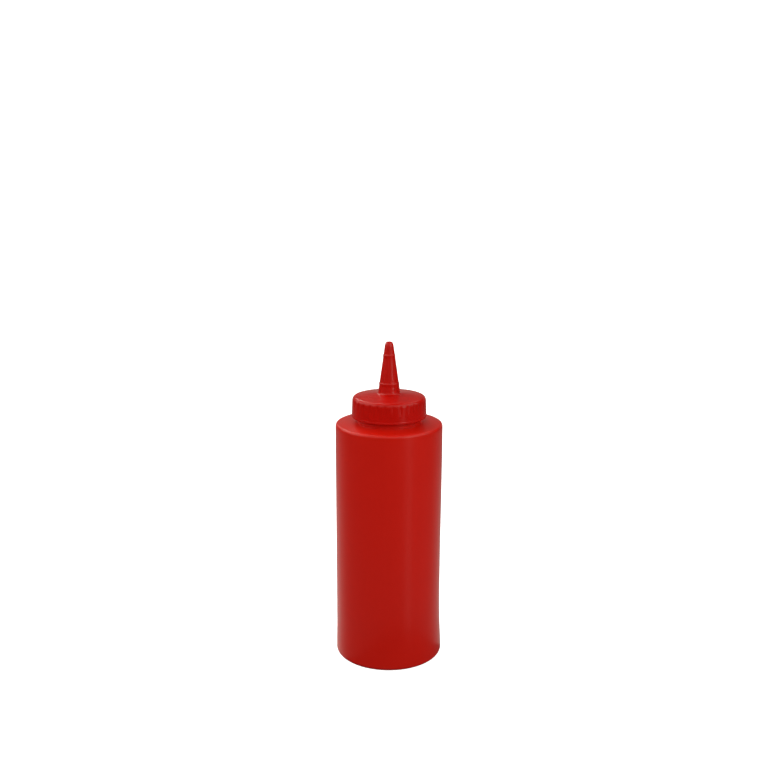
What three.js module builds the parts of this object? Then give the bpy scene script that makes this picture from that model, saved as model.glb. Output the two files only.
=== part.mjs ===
import * as THREE from 'three';

// A squeeze bottle for ketchup: a soft blow-moulded bottle and a moulded cap with a long cone nozzle.
// Millimetres, +Z up, the origin at the middle of the base, the front towards -Y and the right towards +X.

// Body of the bottle
const BODY_RADIUS = 30;
const BASE_FLARE = 0.35;
const FLARE_HEIGHT = 22;
const BASE_FILLET = 2.1;
const STANDING_RING_RADIUS = 21;
const PUSH_UP = 1.4;
const WALL_STEPS = 12;

// Shoulder and neck
const SHOULDER_EDGE_HEIGHT = 134.6;
const SHOULDER_ROUNDING_HEIGHT = 1.7;
const SHOULDER_ROUNDING_WIDTH = 0.9;
const SHOULDER_RISE = 1;
const NECK_RADIUS = 18.35;
const NECK_FILLET = 0.5;

// Soft dent that the wall has on its right side
const DENT_DEPTH = 0.65;
const DENT_HEIGHT = 32;
const DENT_HALF_ANGLE = THREE.MathUtils.degToRad(75);

// Cap: plain rim, ribbed skirt, and a top that rises a little from its edge to the nozzle
const CAP_BOTTOM = 140.1;
const CAP_TOP = 151.5;
const TOP_RISE = 1.9;
const RIM_RADIUS = 21;
const RIM_HEIGHT = 1;
const RIM_CHAMFER = 0.35;
const RIM_STEP = 0.3;
const SKIRT_FOOT_RADIUS = 20.9;
const SKIRT_TOP_RADIUS = 20.55;
const SKIRT_EDGE_HEIGHT = 2.1;
const SKIRT_EDGE_WIDTH = 1.6;
const RIB_COUNT = 30;
const GROOVE_DEPTH = 0.4;
const GROOVE_AZIMUTH = THREE.MathUtils.degToRad(5.5);
const RIB_FLATNESS = 0.5;
const TOP_THICKNESS = 1.7;

// Cone nozzle of the cap, with the two small ledges where its end can be cut off
const NOZZLE_TOP = 182.2;
const NOZZLE_FOOT_RADIUS = 6.2;
const NOZZLE_TIP_RADIUS = 2.15;
const NOZZLE_FOOT_FILLET = 1.2;
const TIP_ROUNDING_HEIGHT = 1.5;
const TIP_ROUNDING_WIDTH = 0.9;
const LEDGE_HEIGHTS = [159.4, 175.2];
const LEDGE_DEPTH = 0.22;
const ORIFICE_RADIUS = 1.2;

// Gap that keeps the cap clear of the neck, and the fineness of the round forms
const CLEARANCE = 0.35;
const BOTTLE_SIDES = 60;
const CAP_SIDES = 4 * RIB_COUNT;
const ARC_DIVISIONS = 2;

const BORE_RADIUS = NECK_RADIUS + CLEARANCE;
const TOP_UNDERSIDE = CAP_TOP - TOP_THICKNESS;
const NOZZLE_FOOT = CAP_TOP + TOP_RISE;
const NECK_TOP = TOP_UNDERSIDE - CLEARANCE;
const SHOULDER_TOP = SHOULDER_EDGE_HEIGHT + SHOULDER_ROUNDING_HEIGHT;
const QUARTER_TURN = Math.PI / 2;

const bottleMaterial = new THREE.MeshStandardMaterial({
  color: 0xae1d15,
  roughness: 0.42,
  metalness: 0,
});

const capMaterial = new THREE.MeshStandardMaterial({
  color: 0xb01810,
  roughness: 0.36,
  metalness: 0,
});

// Revolve a profile about +Z. The angle of a vertex grows from the front towards the right.
function revolve(profile, sides, startAngle = 0) {
  const geometry = new THREE.LatheGeometry(profile, sides, startAngle);
  return geometry.rotateX(QUARTER_TURN);
}

// Move every vertex of a revolved shape to the radius that a rule gives for its angle and height.
function reshape(geometry, newRadius) {
  const position = geometry.attributes.position;
  for (let i = 0; i < position.count; i += 1) {
    const x = position.getX(i);
    const y = position.getY(i);
    const radius = Math.hypot(x, y);
    const angle = Math.atan2(x, -y);
    const moved = newRadius(radius, angle, position.getZ(i));
    position.setXY(i, moved * Math.sin(angle), -moved * Math.cos(angle));
  }
  geometry.computeVertexNormals();
  return geometry;
}

// The wall is a plain cylinder that widens a little towards the base.
function wallRadius(height) {
  return BODY_RADIUS + BASE_FLARE * (1 - THREE.MathUtils.smoothstep(height, 0, FLARE_HEIGHT));
}

function bottleProfile() {
  const baseRadius = wallRadius(BASE_FILLET);
  const shoulderRadius = BODY_RADIUS - SHOULDER_ROUNDING_WIDTH;
  const neckFoot = SHOULDER_TOP + SHOULDER_RISE;
  const outline = new THREE.Path();
  outline.moveTo(0, PUSH_UP);
  outline.lineTo(STANDING_RING_RADIUS - 2 * PUSH_UP, PUSH_UP);
  outline.lineTo(STANDING_RING_RADIUS, 0);
  outline.lineTo(baseRadius - BASE_FILLET, 0);
  outline.absarc(baseRadius - BASE_FILLET, BASE_FILLET, BASE_FILLET, -QUARTER_TURN, 0);
  for (let step = 1; step <= WALL_STEPS; step += 1) {
    const height = THREE.MathUtils.lerp(BASE_FILLET, SHOULDER_EDGE_HEIGHT, step / WALL_STEPS);
    outline.lineTo(wallRadius(height), height);
  }
  outline.absellipse(
    shoulderRadius, SHOULDER_EDGE_HEIGHT,
    SHOULDER_ROUNDING_WIDTH, SHOULDER_ROUNDING_HEIGHT,
    0, QUARTER_TURN,
  );
  outline.lineTo(NECK_RADIUS + NECK_FILLET, neckFoot);
  outline.lineTo(NECK_RADIUS, neckFoot + NECK_FILLET);
  outline.lineTo(NECK_RADIUS, NECK_TOP);
  outline.lineTo(0, NECK_TOP);
  return outline.getPoints(ARC_DIVISIONS);
}

// The dent is deepest at one height and fades out at the base, at the shoulder and round to the front and back.
function dentedRadius(radius, angle, height) {
  const reach = height > DENT_HEIGHT ? SHOULDER_EDGE_HEIGHT - DENT_HEIGHT : DENT_HEIGHT;
  const along = (height - DENT_HEIGHT) / reach;
  const around = (angle - QUARTER_TURN) / DENT_HALF_ANGLE;
  if (Math.abs(along) >= 1 || Math.abs(around) >= 1) {
    return radius;
  }
  const fade = Math.cos(QUARTER_TURN * along) * Math.cos(QUARTER_TURN * around);
  const onWall = radius > STANDING_RING_RADIUS;
  return onWall ? radius - DENT_DEPTH * fade ** 2 : radius;
}

function skirtRadius(height) {
  const foot = CAP_BOTTOM + RIM_HEIGHT + RIM_STEP;
  return THREE.MathUtils.mapLinear(height, foot, CAP_TOP, SKIRT_FOOT_RADIUS, SKIRT_TOP_RADIUS);
}

function topHeight(radius) {
  return THREE.MathUtils.mapLinear(radius, SKIRT_TOP_RADIUS, NOZZLE_FOOT_RADIUS, CAP_TOP, NOZZLE_FOOT);
}

function nozzleRadius(height) {
  return THREE.MathUtils.mapLinear(height, NOZZLE_FOOT, NOZZLE_TOP, NOZZLE_FOOT_RADIUS, NOZZLE_TIP_RADIUS);
}

// One ledge: a short straight collar that stands out of the cone and steps back in at its top.
function addLedge(outline, height) {
  const collarRadius = nozzleRadius(height) + LEDGE_DEPTH;
  const taper = (NOZZLE_FOOT_RADIUS - NOZZLE_TIP_RADIUS) / (NOZZLE_TOP - NOZZLE_FOOT);
  outline.lineTo(collarRadius, height - LEDGE_DEPTH / taper);
  outline.lineTo(collarRadius, height);
  outline.lineTo(nozzleRadius(height), height);
}

function capProfile() {
  const rimTop = CAP_BOTTOM + RIM_HEIGHT;
  const skirtTop = CAP_TOP - SKIRT_EDGE_HEIGHT;
  const edgeRadius = SKIRT_TOP_RADIUS - SKIRT_EDGE_WIDTH;
  const tipFoot = NOZZLE_TOP - TIP_ROUNDING_HEIGHT;
  const tipRadius = nozzleRadius(tipFoot);
  const footCorner = NOZZLE_FOOT_RADIUS + NOZZLE_FOOT_FILLET;
  const footTop = NOZZLE_FOOT + NOZZLE_FOOT_FILLET;
  const outline = new THREE.Path();
  outline.moveTo(BORE_RADIUS, CAP_BOTTOM);
  outline.lineTo(RIM_RADIUS - RIM_CHAMFER, CAP_BOTTOM);
  outline.lineTo(RIM_RADIUS, CAP_BOTTOM + RIM_CHAMFER);
  outline.lineTo(RIM_RADIUS, rimTop);
  outline.lineTo(skirtRadius(rimTop + RIM_STEP), rimTop + RIM_STEP);
  outline.lineTo(skirtRadius(skirtTop), skirtTop);
  outline.quadraticCurveTo(SKIRT_TOP_RADIUS, CAP_TOP, edgeRadius, topHeight(edgeRadius));
  outline.lineTo(footCorner, topHeight(footCorner));
  outline.quadraticCurveTo(NOZZLE_FOOT_RADIUS, NOZZLE_FOOT, nozzleRadius(footTop), footTop);
  LEDGE_HEIGHTS.forEach((height) => addLedge(outline, height));
  outline.lineTo(tipRadius, tipFoot);
  outline.absellipse(
    tipRadius - TIP_ROUNDING_WIDTH, tipFoot,
    TIP_ROUNDING_WIDTH, TIP_ROUNDING_HEIGHT,
    0, QUARTER_TURN,
  );
  outline.lineTo(ORIFICE_RADIUS, NOZZLE_TOP);
  outline.lineTo(ORIFICE_RADIUS, TOP_UNDERSIDE);
  outline.lineTo(BORE_RADIUS, TOP_UNDERSIDE);
  outline.lineTo(BORE_RADIUS, CAP_BOTTOM);
  return outline.getPoints(ARC_DIVISIONS);
}

// The skirt is a ring of flat-topped ribs with a sharp groove between each two, above a plain round rim.
function ribbedRadius(radius, angle, height) {
  const onSkirt = radius > BORE_RADIUS && height > CAP_BOTTOM + RIM_HEIGHT;
  if (!onSkirt) {
    return radius;
  }
  const rib = Math.abs(Math.sin((RIB_COUNT / 2) * (angle - GROOVE_AZIMUTH))) ** RIB_FLATNESS;
  return Math.min(radius, skirtRadius(height) - GROOVE_DEPTH * (1 - rib));
}

function makeBottle() {
  const geometry = reshape(revolve(bottleProfile(), BOTTLE_SIDES), dentedRadius);
  const bottle = new THREE.Mesh(geometry, bottleMaterial);
  bottle.name = 'bottle';
  return bottle;
}

function makeCap() {
  const geometry = reshape(revolve(capProfile(), CAP_SIDES, GROOVE_AZIMUTH), ribbedRadius);
  const cap = new THREE.Mesh(geometry, capMaterial);
  cap.name = 'cap';
  return cap;
}

const squeezeBottle = new THREE.Group();
squeezeBottle.add(makeBottle(), makeCap());

export default squeezeBottle;
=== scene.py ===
# %% [markdown]
# A squeeze bottle for ketchup
#
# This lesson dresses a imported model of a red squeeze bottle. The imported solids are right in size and
# place, but they are made of flat facets and have one plain colour. Here each solid gets a fine mesh of
# the same form in its place, a plastic that behaves like the real one, and a small photo studio round it.

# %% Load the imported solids
import math

import bmesh
import bpy
import numpy as np
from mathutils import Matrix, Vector


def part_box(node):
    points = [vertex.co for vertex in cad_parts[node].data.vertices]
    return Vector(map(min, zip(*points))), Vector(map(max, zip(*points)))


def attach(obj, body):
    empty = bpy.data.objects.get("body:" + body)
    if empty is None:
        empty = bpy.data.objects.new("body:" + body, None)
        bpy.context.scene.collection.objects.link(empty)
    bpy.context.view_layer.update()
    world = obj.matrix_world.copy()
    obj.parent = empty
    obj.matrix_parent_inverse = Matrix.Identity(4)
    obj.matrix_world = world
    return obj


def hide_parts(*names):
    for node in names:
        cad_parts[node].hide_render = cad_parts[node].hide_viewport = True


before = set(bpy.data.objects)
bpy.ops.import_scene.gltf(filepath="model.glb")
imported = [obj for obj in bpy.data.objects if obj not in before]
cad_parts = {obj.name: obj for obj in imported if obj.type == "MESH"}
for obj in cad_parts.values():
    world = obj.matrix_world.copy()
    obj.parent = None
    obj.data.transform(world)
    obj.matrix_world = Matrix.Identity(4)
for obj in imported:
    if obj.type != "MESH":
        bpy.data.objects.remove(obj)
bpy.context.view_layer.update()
_, bottle_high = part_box("bottle")
cap_low, cap_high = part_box("cap")
scene = bpy.context.scene

# %% [markdown]
# The camera comes first, because every later choice is judged through it. The photograph looks down on
# the bottle from a little above, so the round edges show as ellipses. How much those ellipses open from
# the nozzle to the base tells how near the camera stood, and the outline then gives the lens. A camera in
# Blender looks along its own -Z axis, so a quarter turn about X makes it level, and the pitch is taken
# off that turn.

# %% Camera
PHOTO_WIDTH_PIXELS = 768
FOCAL_LENGTH_PIXELS = 1030.4
SENSOR_WIDTH_MM = 36
CAMERA_DISTANCE = 0.560
CAMERA_HEIGHT = 0.2808
CAMERA_SIDESTEP = -0.0030
CAMERA_PITCH = math.radians(12.33)
CAMERA_ROLL = math.radians(-0.062)
QUARTER_TURN = math.pi / 2

camera_data = bpy.data.cameras.new("camera")
camera_data.sensor_width = SENSOR_WIDTH_MM
camera_data.lens = FOCAL_LENGTH_PIXELS / PHOTO_WIDTH_PIXELS * SENSOR_WIDTH_MM
camera = bpy.data.objects.new("camera", camera_data)
camera.location = (CAMERA_SIDESTEP, -CAMERA_DISTANCE, CAMERA_HEIGHT)
camera.rotation_euler = (QUARTER_TURN - CAMERA_PITCH, CAMERA_ROLL, 0)
scene.collection.objects.link(camera)
scene.camera = camera
print("lens in millimetres:", round(camera_data.lens, 2))

# %% [markdown]
# Both pieces are turned forms: a flat outline swept once round the upright axis. Blender has a Screw
# modifier and a Spin operator for that, but here the outline is swept in code, so that a rule can push
# single points in or out afterwards, for a dent or for ribs. An outline is a short list of corners. Real
# plastic has no sharp corner, so each corner is cut back along both of its edges, and a quarter of an
# ellipse that touches both edges joins the cuts.

# %% Outlines with rounded corners
MM = 0.001
ARC_STEPS = 8


def rounded_outline(corners, longest, closed=False):
    """Points of an outline through corners (radius, height, cut before, cut after), in millimetres."""
    places = [Vector(corner[:2]) for corner in corners]
    points = []
    for index, (here, corner) in enumerate(zip(places, corners)):
        before, after = corner[2], corner[-1]
        if before == 0:
            points.append(here)
            continue
        ahead = places[(index + 1) % len(places)]
        start = (places[index - 1] - here).normalized() * before
        end = (ahead - here).normalized() * after
        for step in range(ARC_STEPS + 1):
            turn = step / ARC_STEPS * QUARTER_TURN
            points.append(here + start * (1 - math.sin(turn)) + end * (1 - math.cos(turn)))
    if closed:
        points.append(points[0])
    fine = [points[0]]
    for first, second in zip(points, points[1:]):
        pieces = math.ceil((second - first).length / longest)
        fine += [first.lerp(second, (k + 1) / pieces) for k in range(pieces)]
    return np.array([tuple(point) for point in fine]) * MM


print("a rounded corner has", ARC_STEPS, "steps")

# %% [markdown]
# The sweep makes one ring of points for each point of the outline. Angles start at the front, which faces
# -Y, and grow towards the right. Where the outline meets the axis, a whole ring falls on one spot, and
# merging by distance turns it into a single point. The same merge closes an outline that ends where it
# began.

# %% Sweep an outline round the axis
MERGE_DISTANCE = 1e-7


def turned_piece(name, outline, angles, reshape=None):
    """A mesh object made of an outline swept through the angles, with its points moved by a rule."""
    radius, angle = np.meshgrid(outline[:, 0], angles, indexing="ij")
    height = np.repeat(outline[:, 1:], len(angles), axis=1)
    if reshape:
        radius, height = reshape(radius, angle, height)
    points = np.stack([radius * np.sin(angle), -radius * np.cos(angle), height], axis=-1)
    index = np.arange(radius.size).reshape(radius.shape)
    beside = np.roll(index, -1, axis=1)
    faces = np.stack([index[:-1], beside[:-1], beside[1:], index[1:]], axis=-1)
    mesh = bpy.data.meshes.new(name)
    mesh.from_pydata(points.reshape(-1, 3).tolist(), [], faces.reshape(-1, 4).tolist())
    shape = bmesh.new()
    shape.from_mesh(mesh)
    bmesh.ops.remove_doubles(shape, verts=shape.verts, dist=MERGE_DISTANCE)
    shape.to_mesh(mesh)
    shape.free()
    mesh.shade_smooth()
    piece = bpy.data.objects.new(name, mesh)
    scene.collection.objects.link(piece)
    print(name, "has", len(mesh.polygons), "faces")
    return piece


def even_angles(count, start=0.0):
    return start + np.arange(count) * 2 * math.pi / count


def smooth_step(value, low, high):
    """From 0 at low to 1 at high, with soft ends."""
    share = np.clip((value - low) / (high - low), 0, 1)
    return share * share * (3 - 2 * share)


print("points closer than", MERGE_DISTANCE, "metres become one")

# %% [markdown]
# The bottle is blown from a soft tube inside a split mould. Its wall is a plain cylinder that widens a
# little to the base, its shoulder is nearly flat, and the middle of the base is pushed up so that it
# stands on a ring. The neck goes on up inside the cap.

# %% Outline of the bottle
BODY_RADIUS = 30
BASE_FILLET = 2.1
STANDING_RING = 21
PUSH_UP = 1.4
SHOULDER_CORNER = 136.21
SHOULDER_ROUNDING = (1.61, 0.9)
NECK_RADIUS = 18.35
NECK_FOOT = 137.3
NECK_FILLET = 0.15
NECK_EDGE = 0.3
NECK_TOP = bottle_high.z / MM
WALL_STEP = 1.5

bottle_outline = rounded_outline([
    (0, PUSH_UP, 0),
    (STANDING_RING - 2 * PUSH_UP, PUSH_UP, 3 * PUSH_UP, PUSH_UP),
    (STANDING_RING, 0, PUSH_UP),
    (BODY_RADIUS, 0, BASE_FILLET),
    (BODY_RADIUS, SHOULDER_CORNER, *SHOULDER_ROUNDING),
    (NECK_RADIUS, NECK_FOOT, NECK_FILLET),
    (NECK_RADIUS, NECK_TOP, NECK_EDGE),
    (0, NECK_TOP, 0),
], longest=WALL_STEP)
print("bottle outline:", len(bottle_outline), "points")

# %% [markdown]
# The soft wall is never quite true: it is pressed in on the right, and it waves by a few hundredths of a
# millimetre. The mould leaves a fine line down both sides, where its halves meet, and a weld across the
# base, where they pinched the tube. A sculpting brush could draw all of these, but a formula for the
# radius at each angle and height keeps them smooth and easy to change.

# %% Dent and waves of the wall
BASE_FLARE = 0.345 * MM
FLARE_HEIGHT = 22 * MM
DENT_DEPTH = 0.65 * MM
DENT_HEIGHT = 32 * MM
DENT_TOP = 134.6 * MM
DENT_HALF_ANGLE = math.radians(75)
RIGHT = QUARTER_TURN
WAVE_DEPTH = 0.035 * MM


def flare(height):
    return BASE_FLARE * (1 - smooth_step(height, 0, FLARE_HEIGHT))


def dent(angle, height):
    """Deepest on the right at one height, and gone at the base, at the shoulder and round the sides."""
    reach = np.where(height > DENT_HEIGHT, DENT_TOP - DENT_HEIGHT, DENT_HEIGHT)
    along = np.clip((height - DENT_HEIGHT) / reach, -1, 1)
    around = np.clip((angle - RIGHT) / DENT_HALF_ANGLE, -1, 1)
    return DENT_DEPTH * (np.cos(QUARTER_TURN * along) * np.cos(QUARTER_TURN * around)) ** 2


def waves(angle, height):
    """Whole waves round the bottle, so that they close, times waves in radians per metre of height."""
    slow = np.sin(2 * angle + 31 * height + 0.6) * np.cos(58 * height + 1.1)
    quick = np.sin(5 * angle - 74 * height + 2.3) * np.cos(3 * angle + 120 * height)
    return WAVE_DEPTH * (slow + 0.5 * quick)


print("deepest dent in millimetres:", round(float(dent(RIGHT, DENT_HEIGHT)) / MM, 2))

# %% Mould line, weld and the whole shape of the bottle
SEAM_HEIGHT = 0.07 * MM
SEAM_WIDTH = 0.16 * MM
WELD_HEIGHT = 0.55 * MM
WELD_WIDTH = 0.5 * MM
WELD_LENGTH = 17 * MM
WELD_FADE = 3.4 * MM
MARKS_START = 6 * MM
MARKS_FULL = 26 * MM
MARKS_FADE = 12 * MM


def bell(distance, width):
    return np.exp(-(distance / width) ** 2)


def blown_shape(radius, angle, height):
    """Flare, dent, waves and mould line on the wall, and the weld under the base."""
    across = radius * np.cos(angle)
    weld = WELD_HEIGHT * bell(across, WELD_WIDTH) * smooth_step(WELD_LENGTH - radius, 0, WELD_FADE)
    under = (height < BASE_FILLET * MM) & (radius < STANDING_RING * MM)
    on_wall = smooth_step(radius, STANDING_RING * MM, (BODY_RADIUS - BASE_FILLET) * MM)
    on_wall = on_wall * (height < NECK_FOOT * MM)
    above_base = smooth_step(height, MARKS_START, MARKS_FULL)
    below_shoulder = smooth_step(DENT_TOP - height, 0, MARKS_FADE)
    seam = SEAM_HEIGHT * bell(across, SEAM_WIDTH)
    marks = (waves(angle, height) + seam) * above_base * below_shoulder
    wall = flare(height) - dent(angle, height) + marks
    return radius + on_wall * wall, height - np.where(under, weld, 0)


print("mould line in millimetres:", SEAM_HEIGHT / MM, "weld:", WELD_HEIGHT / MM)

# %% Make the bottle
BOTTLE_SIDES = 240
SEAM_SIDES = (RIGHT, 3 * RIGHT)
FINE_OFFSETS_MM = (-0.5, -0.32, -0.2, -0.1, 0.1, 0.2, 0.32, 0.5)

seam_angles = [side + offset / BODY_RADIUS for side in SEAM_SIDES for offset in FINE_OFFSETS_MM]
bottle_angles = np.sort(np.concatenate([even_angles(BOTTLE_SIDES), seam_angles]))
bottle = turned_piece("blown_bottle", bottle_outline, bottle_angles, blown_shape)
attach(bottle, "root")
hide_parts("bottle")

# %% [markdown]
# The cap is one injection moulding: a skirt that grips the neck, a top that rises a little, and a long
# cone with a hole in its end. The cone has two small ledges, which show where its end can be cut off for
# a wider stream. Each ledge is a short straight collar that stands out of the cone, so it needs only
# three corners in the outline.

# %% Sizes of the cap
CAP_BOTTOM = cap_low.z / MM
RIM_RADIUS = (cap_high.x - cap_low.x) / 2 / MM
RIM_HEIGHT = 1
RIM_STEP = 0.3
RIM_TOP = CAP_BOTTOM + RIM_HEIGHT
SKIRT_FOOT = RIM_TOP + RIM_STEP
SKIRT_FOOT_RADIUS = 20.9
SKIRT_TOP_RADIUS = 20.55
EDGE_HEIGHT = 11.4
CAP_TOP = CAP_BOTTOM + EDGE_HEIGHT
TOP_RISE = 1.9
CLEARANCE = 0.35
BORE_RADIUS = NECK_RADIUS + CLEARANCE
TOP_UNDERSIDE = NECK_TOP + CLEARANCE
NOZZLE_FOOT = CAP_TOP + TOP_RISE
NOZZLE_TOP = cap_high.z / MM
NOZZLE_FOOT_RADIUS = 6.2
NOZZLE_TIP_RADIUS = 2.15
NOZZLE_TAPER = (NOZZLE_FOOT_RADIUS - NOZZLE_TIP_RADIUS) / (NOZZLE_TOP - NOZZLE_FOOT)
ORIFICE_RADIUS = 1.2
print("cap width in millimetres:", round(2 * RIM_RADIUS, 1))
print("nozzle length in millimetres:", round(NOZZLE_TOP - NOZZLE_FOOT, 1))

# %% Outline of the cap
INNER_EDGE = 0.2
RIM_EDGE = 0.35
RIM_STEP_EDGE = 0.25
RIM_STEP_FILLET = 0.12
SKIRT_EDGE = (2.1, 1.6)
NOZZLE_FOOT_FILLET = 0.8
LOW_LEDGE = 159.4
HIGH_LEDGE = 175.2
LEDGE_DEPTH = 0.26
LEDGE_SLOPE = 0.2
LEDGE_FOOT_ROUNDING = 0.3
LEDGE_EDGE = 0.15
TIP_ROUNDING = (2.3, 0.8)
MOUTH_EDGE = 0.15
BORE_FILLET = 0.3
CAP_STEP = 0.6


def nozzle_radius(height):
    return NOZZLE_FOOT_RADIUS - NOZZLE_TAPER * (height - NOZZLE_FOOT)


def ledge_corners(height):
    """A short straight collar that stands out of the cone and steps back in at its top."""
    collar = nozzle_radius(height) + LEDGE_DEPTH
    return [
        (collar, height - LEDGE_DEPTH / NOZZLE_TAPER, LEDGE_FOOT_ROUNDING),
        (collar, height - LEDGE_SLOPE, LEDGE_EDGE),
        (nozzle_radius(height + LEDGE_SLOPE), height + LEDGE_SLOPE, LEDGE_EDGE),
    ]


cap_outline = rounded_outline([
    (BORE_RADIUS, CAP_BOTTOM, INNER_EDGE),
    (RIM_RADIUS, CAP_BOTTOM, RIM_EDGE),
    (RIM_RADIUS, RIM_TOP, RIM_STEP_EDGE, RIM_STEP_FILLET),
    (SKIRT_FOOT_RADIUS, SKIRT_FOOT, RIM_STEP_FILLET, RIM_STEP_EDGE),
    (SKIRT_TOP_RADIUS, CAP_TOP, *SKIRT_EDGE),
    (NOZZLE_FOOT_RADIUS, NOZZLE_FOOT, NOZZLE_FOOT_FILLET),
    *ledge_corners(LOW_LEDGE),
    *ledge_corners(HIGH_LEDGE),
    (NOZZLE_TIP_RADIUS, NOZZLE_TOP, *TIP_ROUNDING),
    (ORIFICE_RADIUS, NOZZLE_TOP, MOUTH_EDGE),
    (ORIFICE_RADIUS, TOP_UNDERSIDE, INNER_EDGE),
    (BORE_RADIUS, TOP_UNDERSIDE, BORE_FILLET),
], longest=CAP_STEP, closed=True)
print("cap outline:", len(cap_outline), "points")

# %% [markdown]
# The skirt has thirty rounded ribs with a sharp groove between each two, above a plain rim. The grooves
# are deepest at the top and run out towards the rim. The ribs could be cut with a Boolean, but a rule
# that draws the radius in at each groove gives even faces that shade well.

# %% Ribs of the cap
RIB_COUNT = 30
GROOVE_DEPTH = 0.5
GROOVE_AZIMUTH = math.radians(5.5)
GROOVE_RUN_OUT = 8
RIB_FLATNESS = 0.8
RIB_BLEND = 0.12
INSIDE_MARGIN = 0.3


def soft_minimum(first, second, blend):
    """The smaller of two values, with the crease between them rounded over a width of blend."""
    near = np.clip(0.5 + 0.5 * (second - first) / blend, 0, 1)
    return second + (first - second) * near - blend * near * (1 - near)


def ribbed_shape(radius, angle, height):
    """The skirt above its rim drawn in at each groove. The edge of the top cuts the ribs off round."""
    up = (height / MM - SKIRT_FOOT) / (CAP_TOP - SKIRT_FOOT)
    skirt = SKIRT_FOOT_RADIUS + (SKIRT_TOP_RADIUS - SKIRT_FOOT_RADIUS) * up
    rib = np.abs(np.sin(RIB_COUNT / 2 * (angle - GROOVE_AZIMUTH))) ** RIB_FLATNESS
    start = smooth_step(height / MM, SKIRT_FOOT, SKIRT_FOOT + GROOVE_RUN_OUT)
    grooved = (skirt + RIB_BLEND - GROOVE_DEPTH * start * (1 - rib)) * MM
    outside = (radius > (BORE_RADIUS + INSIDE_MARGIN) * MM) & (height > RIM_TOP * MM)
    ribbed = np.minimum(radius, soft_minimum(radius, grooved, RIB_BLEND * MM))
    return np.where(outside, ribbed, radius), height


print("a rib in millimetres:", round(2 * math.pi * SKIRT_FOOT_RADIUS / RIB_COUNT, 2), "wide")

# %% Make the cap
SIDES_PER_RIB = 10

cap_angles = even_angles(RIB_COUNT * SIDES_PER_RIB, GROOVE_AZIMUTH)
cap = turned_piece("cone_cap", cap_outline, cap_angles, ribbed_shape)
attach(cap, "root")
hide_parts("cap")

# %% [markdown]
# A material in Blender is a graph of nodes, and graphs built by hand in Python are hard to read. So one
# small class wraps an output socket, and Python's own operators on it add Math nodes: `0.3 + 0.1 * grain`
# reads like the sum that it is. Every other node comes from one method, which sets the node's options
# first and then fills its inputs with numbers or with links.

# %% Shader maths
class Wire:
    """An output socket of a node tree. Sums, differences and products of wires add Math nodes."""

    def __init__(self, socket):
        self.socket = socket

    @staticmethod
    def node(tree, kind, settings=None, inputs=None, output=0):
        """Add a node, set its options, fill its inputs by name or number, and return one output."""
        made = tree.nodes.new(kind)
        for option, value in (settings or {}).items():
            setattr(made, option, value)
        for place, value in (inputs or {}).items():
            if isinstance(value, Wire):
                tree.links.new(value.socket, made.inputs[place])
            else:
                made.inputs[place].default_value = value
        return Wire(made.outputs[output]) if made.outputs else None

    def math(self, operation, first, second):
        tree = self.socket.id_data
        return Wire.node(tree, "ShaderNodeMath", {"operation": operation}, {0: first, 1: second})

    def __add__(self, other):
        return self.math("ADD", self, other)

    def __sub__(self, other):
        return self.math("SUBTRACT", self, other)

    def __rsub__(self, other):
        return self.math("SUBTRACT", other, self)

    def __mul__(self, other):
        return self.math("MULTIPLY", self, other)

    __radd__ = __add__
    __rmul__ = __mul__


print("a wire can be added, taken away and multiplied")

# %% [markdown]
# Both plastics need the same few nodes: a place on the object, noise at that place, a mix of two reds,
# and a bump that stands for relief too fine for the mesh. Each gets a helper with a plain name. Noise is
# 0.5 on average. That mean is taken off before noise is added to a roughness, so that the named roughness
# stays the middle one.

# %% Helpers for materials
NOISE_MEAN = 0.5


def new_material(name):
    material = bpy.data.materials.new(name)
    material.use_nodes = True
    material.node_tree.nodes.clear()
    return material, material.node_tree


def object_place(tree):
    return Wire.node(tree, "ShaderNodeTexCoord", output="Object")


def stretched(tree, place, scale):
    """A place scaled differently along each axis, through Vector Math."""
    return Wire.node(tree, "ShaderNodeVectorMath", {"operation": "MULTIPLY"}, {0: place, 1: scale})


def noise(tree, place, scale, detail):
    """A Noise texture's value, from 0 to 1."""
    inputs = {"Vector": place, "Scale": scale, "Detail": detail}
    return Wire.node(tree, "ShaderNodeTexNoise", {"normalize": True}, inputs)


def mixed_colour(tree, share, first, second):
    """A Mix node between two colours."""
    inputs = {0: share, 6: first, 7: second}
    return Wire.node(tree, "ShaderNodeMix", {"data_type": "RGBA"}, inputs, output=2)


def bumped(tree, height, distance):
    inputs = {"Height": height, "Distance": distance, "Strength": 1.0}
    return Wire.node(tree, "ShaderNodeBump", None, inputs)


def finish_material(tree, principled):
    """A Principled shader with the given inputs, linked to the output of the material."""
    shader = Wire.node(tree, "ShaderNodeBsdfPrincipled", None, principled)
    Wire.node(tree, "ShaderNodeOutputMaterial", None, {"Surface": shader})
    return len(tree.nodes)


print("noise varies about", NOISE_MEAN)

# %% [markdown]
# The bottle is low-density polyethylene, dyed right through. It is a little waxy: light that leaves it is
# a deep red, and its skin is satin, so that a lamp shows in it as a soft band. The tube that it was blown
# from leaves faint upright streaks, the mould leaves a grain finer than a third of a millimetre, and the
# dye is not quite even. A scanned picture could show that too, but noise has no seam and keeps its real
# scale in metres.

# %% Plastic of the bottle
BOTTLE_RED = (0.62, 0.0080, 0.0022, 1)
BOTTLE_DEEP_RED = (0.58, 0.0062, 0.0014, 1)
BOTTLE_ROUGHNESS = 0.30
BOTTLE_IOR = 1.33
BOTTLE_RELIEF = 0.00002
BOTTLE_MOTTLE_SCALE = 55
BOTTLE_GRAIN_SCALE = 3400
STREAK_SCALE = 620
STREAK_STRETCH = (1, 1, 0.03)


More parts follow.
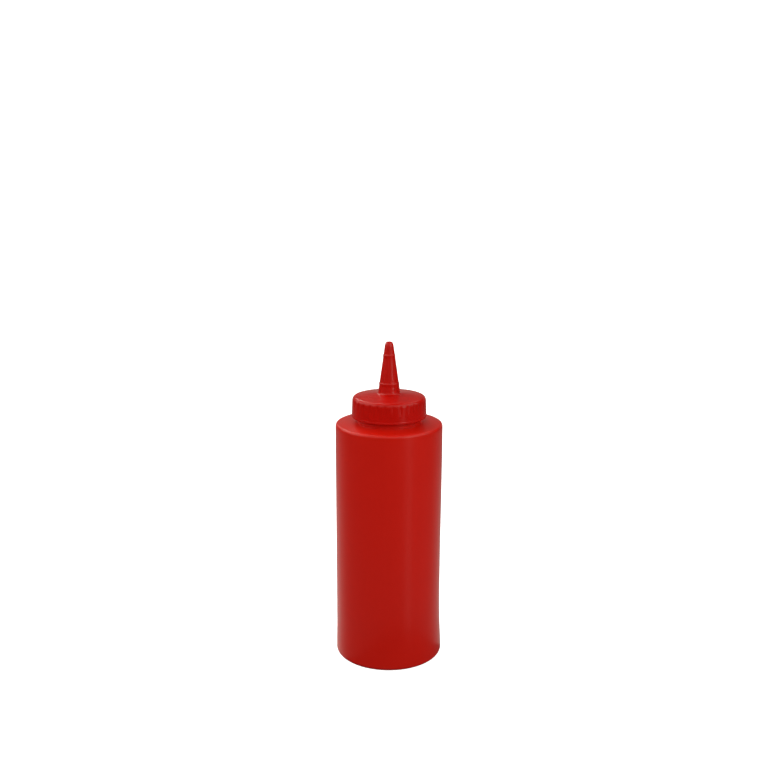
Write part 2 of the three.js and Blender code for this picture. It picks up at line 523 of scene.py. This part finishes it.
def bottle_plastic():
    material, tree = new_material("bottle_plastic")
    place = object_place(tree)
    mottle = noise(tree, place, BOTTLE_MOTTLE_SCALE, detail=3)
    streaks = noise(tree, stretched(tree, place, STREAK_STRETCH), STREAK_SCALE, detail=2)
    grain = noise(tree, place, BOTTLE_GRAIN_SCALE, detail=2)
    uneven = 0.05 * (mottle - NOISE_MEAN) + 0.04 * (streaks - NOISE_MEAN) + 0.03 * (grain - NOISE_MEAN)
    relief = 0.8 * mottle + 0.3 * streaks + 0.55 * grain
    count = finish_material(tree, {
        "Base Color": mixed_colour(tree, 0.65 * mottle + 0.35 * streaks, BOTTLE_DEEP_RED, BOTTLE_RED),
        "Roughness": BOTTLE_ROUGHNESS + uneven,
        "IOR": BOTTLE_IOR,
        "Normal": bumped(tree, relief, BOTTLE_RELIEF),
    })
    print("bottle plastic:", count, "nodes")
    return material


bottle.data.materials.append(bottle_plastic())

# %% [markdown]
# The cap is a harder grade of the same plastic, pressed against polished steel, so it is glossier and its
# red is deeper. The melt came in at the nozzle and ran outwards, which leaves faint flow marks round the
# axis. They are noise as well, squeezed along the axis.

# %% Plastic of the cap
CAP_RED = (0.51, 0.0040, 0.0014, 1)
CAP_DEEP_RED = (0.475, 0.0030, 0.0009, 1)
CAP_ROUGHNESS = 0.26
CAP_IOR = 1.30
CAP_RELIEF = 0.000012
CAP_MOTTLE_SCALE = 130
CAP_GRAIN_SCALE = 4200
FLOW_SCALE = 900
FLOW_STRETCH = (0.35, 0.35, 1)


def cap_plastic():
    material, tree = new_material("cap_plastic")
    place = object_place(tree)
    mottle = noise(tree, place, CAP_MOTTLE_SCALE, detail=3)
    flow = noise(tree, stretched(tree, place, FLOW_STRETCH), FLOW_SCALE, detail=2)
    grain = noise(tree, place, CAP_GRAIN_SCALE, detail=2)
    uneven = 0.05 * (mottle - NOISE_MEAN) + 0.03 * (flow - NOISE_MEAN) + 0.02 * (grain - NOISE_MEAN)
    relief = 0.6 * mottle + 0.4 * flow + 0.5 * grain
    count = finish_material(tree, {
        "Base Color": mixed_colour(tree, 0.6 * mottle + 0.4 * flow, CAP_DEEP_RED, CAP_RED),
        "Roughness": CAP_ROUGHNESS + uneven,
        "IOR": CAP_IOR,
        "Normal": bumped(tree, relief, CAP_RELIEF),
    })
    print("cap plastic:", count, "nodes")
    return material


cap.data.materials.append(cap_plastic())

# %% [markdown]
# The bottle stands on a white paper sweep, a floor that curves up into a wall all round. The photograph
# shows a bare white ground, so the paper glows a little by itself, and the lamps add the rest. A white
# floor would also shine up into the plastic and make it milky, which the photograph doesn't show. So only
# the camera sees the sweep: the plastic mirrors the studio instead.

# %% White sweep
SWEEP_RADIUS_MM = 2400
SWEEP_CURVE_MM = 900
SWEEP_HEIGHT_MM = 2600
SWEEP_STEP_MM = 300
STAGE_SIDES = 96
FIBRE_SCALE = 900
PAPER_ROUGHNESS = 0.9
PAPER_GLOW = 0.95
PAPER_WHITE = (0.62, 0.62, 0.62, 1)
WHITE = (1, 1, 1, 1)


def paper(name, colour, glow):
    """Dull paper with a faint grain of fibres, which also gives off some light of its own."""
    material, tree = new_material(name)
    fibres = noise(tree, object_place(tree), FIBRE_SCALE, detail=3)
    finish_material(tree, {
        "Base Color": mixed_colour(tree, 0.1 * fibres, colour, WHITE),
        "Roughness": PAPER_ROUGHNESS,
        "Specular IOR Level": 0.0,
        "Emission Color": WHITE,
        "Emission Strength": glow,
    })
    return material


sweep_outline = rounded_outline([
    (0, 0, 0),
    (SWEEP_RADIUS_MM, 0, SWEEP_CURVE_MM),
    (SWEEP_RADIUS_MM, SWEEP_HEIGHT_MM, 0),
], longest=SWEEP_STEP_MM)
sweep = turned_piece("sweep", sweep_outline, even_angles(STAGE_SIDES))
sweep.data.materials.append(paper("paper_white", PAPER_WHITE, PAPER_GLOW))
sweep.visible_diffuse = False
sweep.visible_glossy = False
sweep.visible_shadow = False

# %% [markdown]
# One thing is lost that way. The bottle shades the table in front of it, and the wall just above the
# table mirrors that shade and gets less light from below. A dark disc just under the paper brings this
# back. It is seen the other way round: by the plastic, and not by the camera.

# %% Shade on the table
SHADE_RADIUS_MM = 45
SHADE_TOP_MM = -0.2
SHADE_BOTTOM_MM = -0.6
SHADE_STEP_MM = 20
SHADE_MIDDLE = (0.013, -0.036, 0)
SHADE_GREY = (0.06, 0.06, 0.06, 1)
SHADE_GLOW = 0.07

shade_outline = rounded_outline([
    (0, SHADE_BOTTOM_MM, 0),
    (SHADE_RADIUS_MM, SHADE_BOTTOM_MM, 0),
    (SHADE_RADIUS_MM, SHADE_TOP_MM, 0),
    (0, SHADE_TOP_MM, 0),
], longest=SHADE_STEP_MM)
shade = turned_piece("table_shade", shade_outline, even_angles(STAGE_SIDES))
shade.location = SHADE_MIDDLE
shade.data.materials.append(paper("paper_shade", SHADE_GREY, SHADE_GLOW))
shade.visible_camera = False

# %% [markdown]
# The light is what makes plain plastic look like plastic. The lamps stand on a dome round the bottle, and
# each is placed by two angles: how far round from the front, and how far up. Area lamps are used, because
# a point or a sun would leave hard spots in the shine. Their white is a little warm, as in the
# photograph.

# %% Softboxes
STUDIO_RADIUS = 1.4
BOTTLE_MIDDLE = Vector((0, 0, 0.09))
WARM_WHITE = (1, 0.99, 0.9)
UPPER_PANEL = (36, 0.5, 1.05)
LOWER_PANEL = (14, 0.5, 0.4)


def softbox(name, azimuth, elevation, width, height, watts):
    """A rectangular lamp that faces the bottle and that the camera doesn't see."""
    round_turn, up_turn = math.radians(azimuth), math.radians(elevation)
    flat = math.cos(up_turn)
    away = Vector((math.sin(round_turn) * flat, -math.cos(round_turn) * flat, math.sin(up_turn)))
    data = bpy.data.lights.new(name, "AREA")
    data.shape = "RECTANGLE"
    data.size = width
    data.size_y = height
    data.energy = watts
    data.color = WARM_WHITE
    lamp = bpy.data.objects.new(name, data)
    lamp.location = BOTTLE_MIDDLE + STUDIO_RADIUS * away
    lamp.rotation_euler = (-away).to_track_quat("-Z", "Y").to_euler()
    lamp.visible_camera = False
    scene.collection.objects.link(lamp)


def panel_arc(name, azimuths, upper_watts, lower_watts):
    """Tall panels above and small ones below, side by side along an arc."""
    for number, azimuth in enumerate(azimuths):
        softbox(f"{name}_upper_{number}", azimuth, *UPPER_PANEL, upper_watts)
        softbox(f"{name}_lower_{number}", azimuth, *LOWER_PANEL, lower_watts)


print("lamps stand", STUDIO_RADIUS, "metres from the bottle")

# %% [markdown]
# Three arcs of panels give the even red of the front, stronger on the left and the right than in the
# middle. Lamps behind the bottle brighten the top of the cap and the shoulder, and the cap keeps their
# light off the neck. A tall strip on the right shows as the soft upright band. Each line gives the angles
# round and up in degrees, the width and height in metres, and the watts.

# %% Place the lamps
panel_arc("left_panel", (-112.5, -90, -67.5), 2.9, 0.50)
panel_arc("front_panel", (-45, -22.5, 0, 22.5), 1.88, 0.18)
panel_arc("right_panel", (45, 67.5, 90), 2.7, 0.37)
softbox("left_spot", -84, 30, 0.35, 0.35, 0.6)
softbox("back_top", -158, 64, 0.6, 0.5, 3.65)
softbox("back_left_top", -145, 50, 0.6, 0.5, 1.2)
softbox("back_right_top", 145, 50, 0.6, 0.5, 1.4)
softbox("back_left_spot", -160, 33, 0.3, 0.2, 1.7)
softbox("back_left_low", -130, 24, 0.4, 0.35, 0.7)
softbox("floor_right", 75, -15, 0.6, 0.9, 0.11)
softbox("strip_upper", 43, 13, 0.27, 0.55, 2.05)
softbox("strip_lower", 43, -17, 0.27, 0.85, 0.46)

# %% [markdown]
# Glossy things also mirror the room that the lamps stand in. A picture taken all round a real room is
# often used for that, but a sum of soft ramps over the direction is enough here. The room is dark at the
# height of the camera and pale below, as a table near the bottle is. It is paler behind, with a band
# along the horizon, and most of all below on the left. That is why the bottle is milky at both edges, and
# deep red on the cap.

# %% The room
TABLE_GLOW = 0.31
TABLE_FALL = (-0.18, -0.42)
BACK_TABLE_GLOW = 0.12
BACK_TABLE_LEFT_GLOW = 0.25
BACK_TABLE_FALL = (-0.17, -0.48)
BACK_TABLE_DEPTH = (0.2, 0.8)
LEFT = (0.2, -0.4)
BACK_LOW_GLOW = 0.16
BACK_LOW_FALL = (-0.15, -0.3)
BACK_LOW_DEPTH = (0.0, 1.0)
BEHIND = (0.5, 0.95)
HORIZON_GLOW = 0.31
HORIZON_FOOT = (-0.2, 0.0)
HORIZON_TOP = (0.29, 0.1)
BACK_HIGH_GLOW = 0.15
BACK_HIGH_RISE = (0.25, 0.42)
ROOM_GLOW = 0.034


def soft_ramp(tree, value, ends):
    """From 0 at the first end to 1 at the second, with soft ends, through a Map Range node."""
    inputs = {"Value": value, "From Min": ends[0], "From Max": ends[1]}
    return Wire.node(tree, "ShaderNodeMapRange", {"interpolation_type": "SMOOTHSTEP"}, inputs)


def part_along(tree, direction, axis):
    return Wire.node(tree, "ShaderNodeSeparateXYZ", None, {0: direction}, output=axis)


def room_light():
    """A world whose light depends on the direction: x grows to the right, y to the back and z upwards."""
    world = bpy.data.worlds.new("room")
    world.use_nodes = True
    tree = world.node_tree
    tree.nodes.clear()
    direction = Wire.node(tree, "ShaderNodeTexCoord", output="Generated")
    x, y, z = (part_along(tree, direction, axis) for axis in "XYZ")
    table = soft_ramp(tree, z, TABLE_FALL)
    back_table = soft_ramp(tree, z, BACK_TABLE_FALL) * soft_ramp(tree, y, BACK_TABLE_DEPTH)
    back_low = soft_ramp(tree, z, BACK_LOW_FALL) * soft_ramp(tree, y, BACK_LOW_DEPTH)
    behind = soft_ramp(tree, y, BEHIND)
    horizon = soft_ramp(tree, z, HORIZON_FOOT) * soft_ramp(tree, z, HORIZON_TOP) * behind
    back_high = soft_ramp(tree, z, BACK_HIGH_RISE) * behind
    strength = (
        TABLE_GLOW * table
        + BACK_TABLE_GLOW * back_table
        + BACK_TABLE_LEFT_GLOW * back_table * soft_ramp(tree, x, LEFT)
        + BACK_LOW_GLOW * back_low
        + HORIZON_GLOW * horizon
        + BACK_HIGH_GLOW * back_high
        + ROOM_GLOW
    )
    light = Wire.node(
        tree, "ShaderNodeBackground", None, {"Color": (*WARM_WHITE, 1), "Strength": strength}
    )
    Wire.node(tree, "ShaderNodeOutputWorld", None, {"Surface": light})
    return world


scene.world = room_light()
scene.view_settings.view_transform = "Standard"
scene.view_settings.look = "None"
print("view transform:", scene.view_settings.view_transform)
